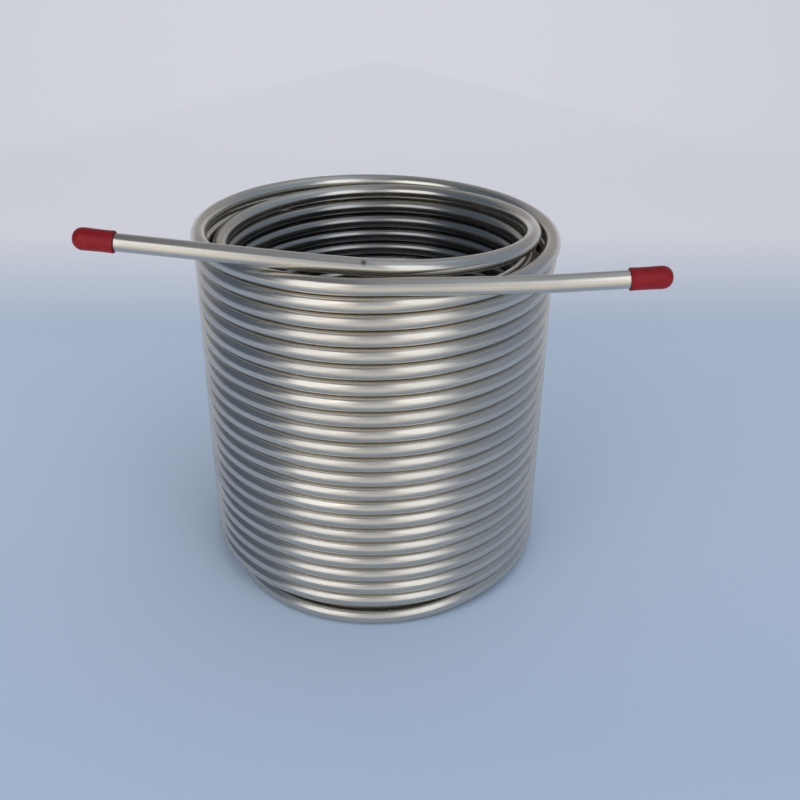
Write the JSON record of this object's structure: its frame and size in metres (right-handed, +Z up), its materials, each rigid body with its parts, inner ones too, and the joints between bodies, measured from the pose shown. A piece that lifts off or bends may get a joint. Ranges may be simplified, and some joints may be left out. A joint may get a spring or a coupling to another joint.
{
  "type": "stainless steel cooling coil",
  "caption": "Free-standing immersion cooling coil: one stainless tube wound in two nested helical layers, with straight ends leaving left and right at the top and a soft red cap on each.",
  "frame": {"origin": "on the coil's axis at floor level, in the plane that the lowest turn rests on", "axes": "+Z up along the coil's axis, -Y to the front where both tube ends leave the coil, +X along the outer layer's straight end"},
  "size_m": [0.3221, 0.232, 0.2569],
  "materials": {
    "stainless_tube": "drawn and annealed tube, satin-bright with fine lines along its length",
    "red_vinyl": "soft dipped vinyl, satin"
  },
  "bodies": {
    "root": {"coil_tube": "stainless_tube", "end_cap_right": "red_vinyl", "end_cap_left": "red_vinyl"}
  },
  "joints": []
}
